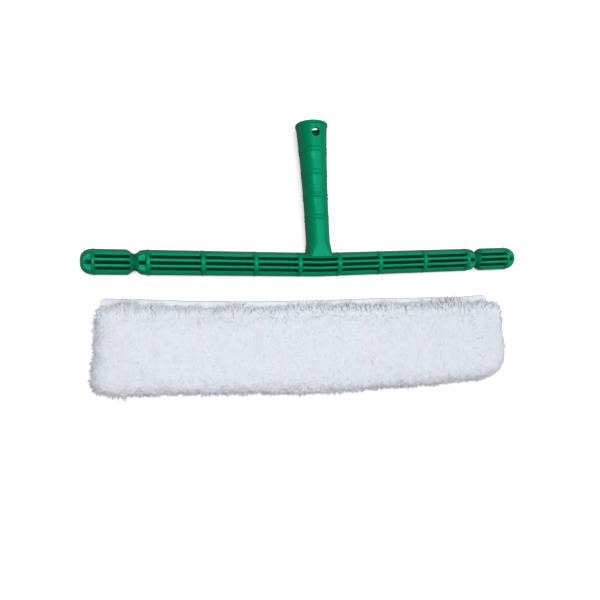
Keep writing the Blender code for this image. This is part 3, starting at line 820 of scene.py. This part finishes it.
def clearOfBand(shape):  # no lock reaches into the floor, or to where the band swings up
    shape[:, :, 2] = np.maximum(shape[:, :, 2], 0.15)
    x, y, z = shape[:, :, 0], shape[:, :, 1], shape[:, :, 2]
    shape[:, :, 1] = np.where(besideBand(x, z), np.minimum(y, mouthLimit(x, z)), y)
    return shape


def overBand(shape):  # the hanging locks lie on the band
    shape[:, :, 2] = np.maximum(shape[:, :, 2], 16.95)
    return shape


upright = np.array([(0.0, 0.0, 1.0)])


def pileTufts(name, body, count, keep, seed, tones, broad=1.0):
    spots, normals, random = scattered(body, count, keep, seed)
    aside = np.clip((spots[:, 1:2] - sleeve["midLine"]) / tufts["combReach"], -1, 1)  # lower edge -1, mouth 1
    comb = aside * np.array([(0.0, tufts["comb"], 0.0)])
    way = swirl(spots, tufts["swirl"], seed) * 1.1 + comb + random.normal(size=spots.shape) * tufts["spread"]
    directions = unit(normals + way * tufts["lean"])
    facing = np.sum(directions * normals, axis=1)
    directions = unit(directions + normals * np.maximum(0.0, 0.35 - facing)[:, None])
    clump = swirl(spots, tufts["clump"], seed + 3)[:, 0]
    lengths = tufts["length"] * (0.85 + (1.2 * broad - 0.85) * clump + 0.3 * random.random(len(spots)))
    lengths = lengths * (1 - tufts["faceCut"] * np.abs(normals[:, 2]))
    lengths = np.minimum(lengths, tufts["length"] * tufts["longest"])
    widths = tufts["width"] * broad * (0.75 + 0.6 * random.random(len(spots)))
    # painted shade: locks near the pile's edges get darker tones, the lower edge most
    edge = np.maximum(np.abs(spots[:, 1:2] - sleeve["midLine"]) / 30.0, (np.abs(spots[:, 0:1]) - 120.0) / 38.0)
    shade = np.clip((edge - tufts["edgeStart"]) / 0.38, 0, 1) * tufts["edgeShade"] * np.clip(normals[:, 2:3], 0, 1)
    shade = shade * (1 - tufts["lowerShade"] * aside)  # the lower edge turns further from the light
    normals = unit(normals + upright * tufts["upward"] * (1 - normals[:, 2:3]))
    tones = (tones[0] - shade, tones[1] - shade)
    mesh = growTufts(spots, normals, directions, lengths, widths, tones, random, clearOfBand)
    addPiece(name, mesh, "sleeve", "pile")


def lipTufts(body):  # the locks that hang over the band from the front pile's edge
    def keep(places, normals):
        near = (places[:, 1] > -13.5) & (normals[:, 1] > 0.12) & (places[:, 2] > 17.2)
        return near * (np.abs(places[:, 0] + 2.0) < 157.0)

    spots, normals, random = scattered(body, tufts["lipCount"], keep, 91)
    wanted = np.array([smoothKnots(tufts["lips"], spot[0], 1.5) for spot in spots])
    normals = unit(normals + upright * 1.5)
    way = np.array([(0.0, 1.0, 0.1)]) + random.normal(size=spots.shape) * np.array([(0.6, 0.2, 0.11)])
    lengths = wanted * (0.45 + 0.65 * random.random(len(spots))) + (-spots[:, 1] - 9.0) * 0.5
    lengths = np.clip(lengths, 1.5, 11.0)
    widths = tufts["width"] * (1.3 + 0.9 * random.random(len(spots)))
    mesh = growTufts(spots, normals, unit(way), lengths, widths, tufts["lipTones"], random, overBand)
    piece = addPiece("lip_tufts", mesh, None, "pile")
    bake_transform(piece)


def faceUp(low, high):  # the front pile's face between two places along the sleeve
    return lambda places, normals: (normals[:, 2] > tufts["faceTilt"]) & (places[:, 0] >= low) & (places[:, 0] < high)


def atRim(places):  # the three sides away from the mouth
    return (places[:, 1] < -13) | (np.abs(places[:, 0]) > 154)


def frontSides(places, normals):
    return (normals[:, 2] <= tufts["faceTilt"]) & (normals[:, 2] > -0.6) & (places[:, 2] > 13.2) & atRim(places)


def backSides(places, normals):
    return (np.abs(normals[:, 2]) < 0.75) & (places[:, 2] > 2.6) & (places[:, 2] < 11.0) & atRim(places)


frontPile = makePile("front", 3.0)
backPile = makePile("back", 8.0)
faceCount, sideCount, sideTones = tufts["count"] // 2, tufts["sideCount"], tufts["sideTones"]
pileTufts("front_tufts_left", frontPile, faceCount, faceUp(-200.0, 0.0), 21, tufts["faceTones"])
pileTufts("front_tufts_right", frontPile, faceCount, faceUp(0.0, 200.0), 22, tufts["faceTones"])
pileTufts("front_edge_tufts", frontPile, sideCount, frontSides, 23, sideTones, tufts["sideBroad"])
pileTufts("back_edge_tufts", backPile, sideCount * 3 // 4, backSides, 24, sideTones, tufts["sideBroad"])
lipTufts(frontPile)
print("pile made")


# The linings, seams, band, tapes and stitches all lie along the sleeve's rim or its mouth.
def makeLining(side, low, edge):
    name = side + "_backing"
    rim = withMouth(insetRim(sleeve["rim"], sleeve["liningInset"]), edge)
    high = low + cloth["thick"]
    insets = (None, 26.0, 10.0, 3.0, 0.15)
    profile = [(inset, low, low) for inset in insets]
    profile += [(0.0, low + 0.15, low + 0.15), (0.0, high - 0.15, high - 0.15)]
    shape = pad(rim, profile + [(inset, high, high) for inset in reversed(insets)])
    for vert in shape.verts:
        vert.co.z += 0.05 * sin(vert.co.x * 0.35 + vert.co.y * 0.2)
    piece = addPiece(name, meshOf(name, shape), "sleeve", "lining", [side + "_lining"], sharp=50)


def alongRim(name, node, first, last):  # a folded, stitched strip inside the rim
    rim = insetRim(sleeve["rim"], sleeve["liningInset"] + 0.4)[first:last + 1]
    points = [Vector((x, y, 0)) for x, y in rim]
    path = []
    for near, far in zip(points, points[1:]):
        steps = max(1, round((far - near).length / 1.5))
        path += [near + (far - near) * step / steps for step in range(steps)]
    path.append(points[-1])
    low, high = cloth["seamBase"], cloth["seamTop"]
    middle, half = (low + high) / 2, (high - low) / 2
    sections = []
    for number, point in enumerate(path):
        along = (path[min(number + 1, len(path) - 1)] - path[max(number - 1, 0)]).normalized()
        inward = Vector((-along.y, along.x, 0))
        pinch = cloth["pinch"] * (number % 2)  # every other ring is drawn in, as by a stitch
        section = []
        for step in range(16):
            angle = 2 * pi * step / 16
            across = 0.5 + 0.5 * copysign(abs(cos(angle)) ** 0.6, cos(angle))
            lift = copysign(abs(sin(angle)) ** 0.6, sin(angle))
            place = point + inward * (0.4 + pinch + across * (cloth["seamIn"] - pinch))
            section.append((place.x, place.y, middle + lift * half * (1 - 0.1 * pinch)))
        sections.append(section)
    shape = bmesh.new()
    sweep(shape, sections)
    addPiece(name, meshOf(name, shape), "sleeve", "lining", [node])


def bandSection(x):  # the folded strip's outer skin from its seam round the mouth edge, then its inner skin back
    left, right, deep = cloth["bandLeft"], cloth["bandRight"], -cloth["bandDeep"]
    base, high, skin = cloth["bandBase"], cloth["bandBase"] + cloth["bandThick"], cloth["bandCloth"]
    low, top, middle = base + skin, high - skin, (base + high) / 2
    points = [
        (deep, high - 0.15), (-6.3, high - 0.1), (-5.4, high + 0.05), (-3.4, high), (-1.6, high - 0.02),
        (-0.95, high - 0.04), (-0.6, high - 0.06), (-0.22, high - 0.15), (0.0, middle), (-0.22, base + 0.12),
        (-0.6, base + 0.03), (-1.6, base), (-3.4, base), (-5.4, base), (-6.5, base), (-6.5, low), (-5.4, low),
        (-3.4, low), (-1.6, low), (-0.75, low + 0.02), (-0.5, middle), (-0.75, top - 0.08), (-1.6, top),
        (-3.4, top), (-5.4, top + 0.03), (-6.3, top - 0.1), (deep, top - 0.15),
    ]
    ends = min(eased(x, left, left + 2.0), 1 - eased(x, right - 3.0, right))
    reach = 0.72 + 0.28 * sqrt(ends)
    shift, wave = bow(x), cloth["wave"] * noise.noise(Vector((x / 13.0, 3.1, 0)))
    section = []
    for y, z in points:
        along = deep + (y - deep) * reach + shift * between(y, deep, -5.0)
        section.append((x, along, z + wave * between(y, deep, -5.5)))
    return section


def makeBand():
    left, right = cloth["bandLeft"], cloth["bandRight"]
    places = {left + (right - left) * step / 190 for step in range(191)}
    for gap in (0.3, 0.7, 1.1):
        places |= {left + gap, right - gap}
    shape = bmesh.new()
    sweep(shape, [bandSection(x) for x in sorted(places)])
    mesh = meshOf("mouth_band", shape)
    back = sleeveFrame.inverted()
    # painted shade along the band's folded mouth edge and at its ends
    foldShadeValues = []
    for vert in mesh.vertices:
        place = back @ vert.co
        ends = min(place.x - left, right - place.x)
        foldShadeValues.append(max(between(place.y - bow(place.x), -0.85, -0.3), 1 - between(ends, 0.1, 0.5)))
    paint(mesh, "bandFoldShade", foldShadeValues)
    piece = addPiece("mouth_band", mesh, "mouth_flap", "band", ["mouth_flap"], sharp=60)


def threads(name, lines, radius, nodes=()):  # short stitches, each a bent rod
    shape = bmesh.new()
    for start, end, rise in lines:
        start, end = Vector(start), Vector(end)
        along = end - start
        turn = along.to_track_quat("Z", "Y").to_matrix().to_4x4()
        made = peg(shape, 6, radius, radius, along.length, Matrix.Translation((start + end) / 2) @ turn)
        way = along.normalized()
        edges = set()
        for edge in (edge for vert in made for edge in vert.link_edges):
            if abs((edge.verts[0].co - edge.verts[1].co).normalized().dot(way)) > 0.9:
                edges.add(edge)
        for item in bmesh.ops.subdivide_edges(shape, edges=list(edges), cuts=2)["geom_inner"]:
            if isinstance(item, bmesh.types.BMVert):
                item.co.z += rise
    addPiece(name, meshOf(name, shape), "mouth_flap", "thread", nodes)


tapes = {
    "spans": (("left", -152.3, -66.5), ("right", 66.5, 141.3)), "low": -5.7, "wide": 4.7, "back": 0.45,
    "hookBase": 10.15, "hookPitch": 1.5, "hookRow": 1.2, "loopTop": 15.3, "loopPitch": 1.0, "loopRow": 1.1,
    "jitter": 0.15,
}


def slab(shape, low, high):
    middle = (Vector(low) + Vector(high)) / 2
    size = Vector(high) - Vector(low)
    place = Matrix.Translation(middle) @ Matrix.Diagonal((*size, 1.0))
    made = bmesh.ops.create_cube(shape, size=1.0, matrix=place)["verts"]
    edges = list({edge for vert in made for edge in vert.link_edges})
    bmesh.ops.bevel(shape, geom=edges, offset=0.12, segments=2, affect="EDGES", profile=0.5, material=-1)


def tapePiece(name, shape, body, node):
    addPiece(name, meshOf(name, shape), body, "tape", [node], sharp=40)


def makeHooks(side, start, end):  # rows of stems, each with its crook
    shape = bmesh.new()
    low, pitch, top = tapes["low"], tapes["hookPitch"], tapes["hookBase"] + tapes["back"]
    slab(shape, (start, low, tapes["hookBase"]), (end, low + tapes["wide"], top))
    for column in range(int((end - start - 2) / pitch)):
        for row in range(3):
            x, y = start + 1.4 + column * pitch, low + 1.15 + row * tapes["hookRow"]
            peg(shape, 5, 0.16, 0.12, 0.55, Matrix.Translation((x, y, top + 0.25)))
            crook = Matrix.Translation((x + 0.14, y, top + 0.52)) @ Matrix.Rotation(radians(70), 4, "Y")
            peg(shape, 5, 0.11, 0.05, 0.5, crook)
    tapePiece(side + "_hooks", shape, "sleeve", side + "_hook_tape")


def makeLoops(side, start, end):  # small discs on edge, every way round
    shape = bmesh.new()
    low, pitch, below = tapes["low"], tapes["loopPitch"], tapes["loopTop"] - tapes["back"]
    slab(shape, (start, low, below), (end, low + tapes["wide"], tapes["loopTop"]))
    random = np.random.default_rng(5 + len(side))
    for column in range(int((end - start - 1) / pitch)):
        for row in range(4):
            x = start + 0.8 + column * pitch + random.normal() * tapes["jitter"]
            y = low + 0.7 + row * tapes["loopRow"] + random.normal() * tapes["jitter"]
            turn = Matrix.Rotation(random.uniform(0, pi), 4, "Z")
            turn = turn @ Matrix.Rotation(random.uniform(0.9, 1.5), 4, "X")
            peg(shape, 6, 0.42, 0.42, 0.1, Matrix.Translation((x, y, below - 0.12)) @ turn)
    tapePiece(side + "_loops", shape, "mouth_flap", side + "_loop_tape")


def makeStitches():
    high = cloth["bandBase"] + cloth["bandThick"] + 0.04
    hem = []
    for x in np.arange(-154.0, 142.0, 2.7):
        y = -1.5 + bow(x)
        hem.append(((x, y, high), (x + 1.9, y, high), 0.05))
    threads("hem_stitches", hem, 0.13)
    for side, place in (("left", -66.5), ("right", 66.5)):
        rows = []
        for step in range(15):
            y = -5.6 + step * 0.33 + bow(place)
            rows.append(((place - 0.7, y, high - 0.02), (place + 0.7, y + 0.16, high - 0.02), 0.06))
        threads(side + "_tack_threads", rows, 0.14, [side + "_bar_tack"])


makeLining("front", cloth["frontBase"], -7.3)
makeLining("back", cloth["backBase"], -0.3)
for name, first, last in (("left_end", 2, 8), ("bottom", 9, 23), ("right_end", 24, 30)):
    alongRim(name + "_fold", name + "_seam", first, last)
makeBand()
for span in tapes["spans"]:
    makeHooks(*span)
    makeLoops(*span)
makeStitches()
print("cloth made")


stageLook = {
    "floor": (0.86, 0.86, 0.86, 1.0), "bounce": (0.28, 0.28, 0.29, 1.0), "white": (1.0, 1.0, 1.0, 1.0), "lift": 0.4,
    "sky": (0.86, 0.88, 1.0, 1.0), "skyStrength": 0.09, "aim": (0.0, -0.02, 0.0), "key": 3.6, "fill": 5.2, "top": 7.6,
}


def floorFinish():  # pale where the camera sees it, and darker to the light that bounces
    finish = Finish("pale_floor")
    finish.nodes.remove(finish.shader)
    seen = finish.add("LightPath", output="Is Camera Ray")
    pale = finish.add("BsdfDiffuse", {"Color": stageLook["floor"]})
    bounce = finish.add("BsdfDiffuse", {"Color": stageLook["bounce"]})
    glow = finish.add("Emission", {"Color": stageLook["white"], "Strength": stageLook["lift"]})
    near = finish.add("AddShader", {0: pale, 1: glow})
    away = finish.add("Emission", {"Color": stageLook["white"], "Strength": 1.0})
    far = finish.add("VectorMath", {0: finish.place}, "Value", operation="LENGTH")
    both = finish.add("MixShader", {0: finish.ramp(far, 0.35, 0.7), 1: near, 2: away})
    finish.show(finish.add("MixShader", {0: seen, 1: bounce, 2: both}))
    return finish.material


def makeFloor():
    shape = bmesh.new()
    bmesh.ops.create_grid(shape, x_segments=1, y_segments=1, size=4.0)
    mesh = meshFrom("floor", shape)
    mesh.materials.append(floorFinish())
    linked("floor", mesh)


def addLamp(name, place, aim, size):
    lamp = bpy.data.lights.new(name, "AREA")
    lamp.shape = "DISK"
    lamp.size = size
    lamp.energy = stageLook[name]
    holder = linked(name, lamp)
    holder.location = place
    holder.rotation_euler = (Vector(aim) - Vector(place)).to_track_quat("-Z", "Y").to_euler()


def makeWorld():
    world = bpy.data.worlds.new("studio")
    bpy.context.scene.world = world
    tree = Tree(world)
    tree.nodes.remove(tree.nodes["Background"])
    sky = tree.add("Background", {"Color": stageLook["sky"], "Strength": stageLook["skyStrength"]})
    white = tree.add("Background", {"Color": stageLook["white"]})
    seen = tree.add("LightPath", output="Is Camera Ray")
    tree.show(tree.add("MixShader", {0: seen, 1: sky, 2: white}))


def makeCamera():
    camera = linked("camera", bpy.data.cameras.new("camera"))
    camera.location = (-0.12509, -0.07361, 0.42625)
    camera.rotation_euler = [radians(turn) for turn in (6.264, -14.32, -3.025)]
    camera.data.sensor_width = 36.0
    camera.data.lens = 33.54
    camera.data.shift_x = 0.0011
    camera.data.clip_start = 0.02
    bpy.context.scene.camera = camera


makeFloor()
makeWorld()
addLamp("key", (-0.25, -0.1, 0.9), (-0.1, -0.02, 0.0), 0.3)
addLamp("fill", (0.75, 0.0, 1.0), stageLook["aim"], 0.8)
addLamp("top", (0.08, 0.05, 1.3), stageLook["aim"], 0.8)
makeCamera()
bpy.context.scene.view_settings.view_transform = "Standard"
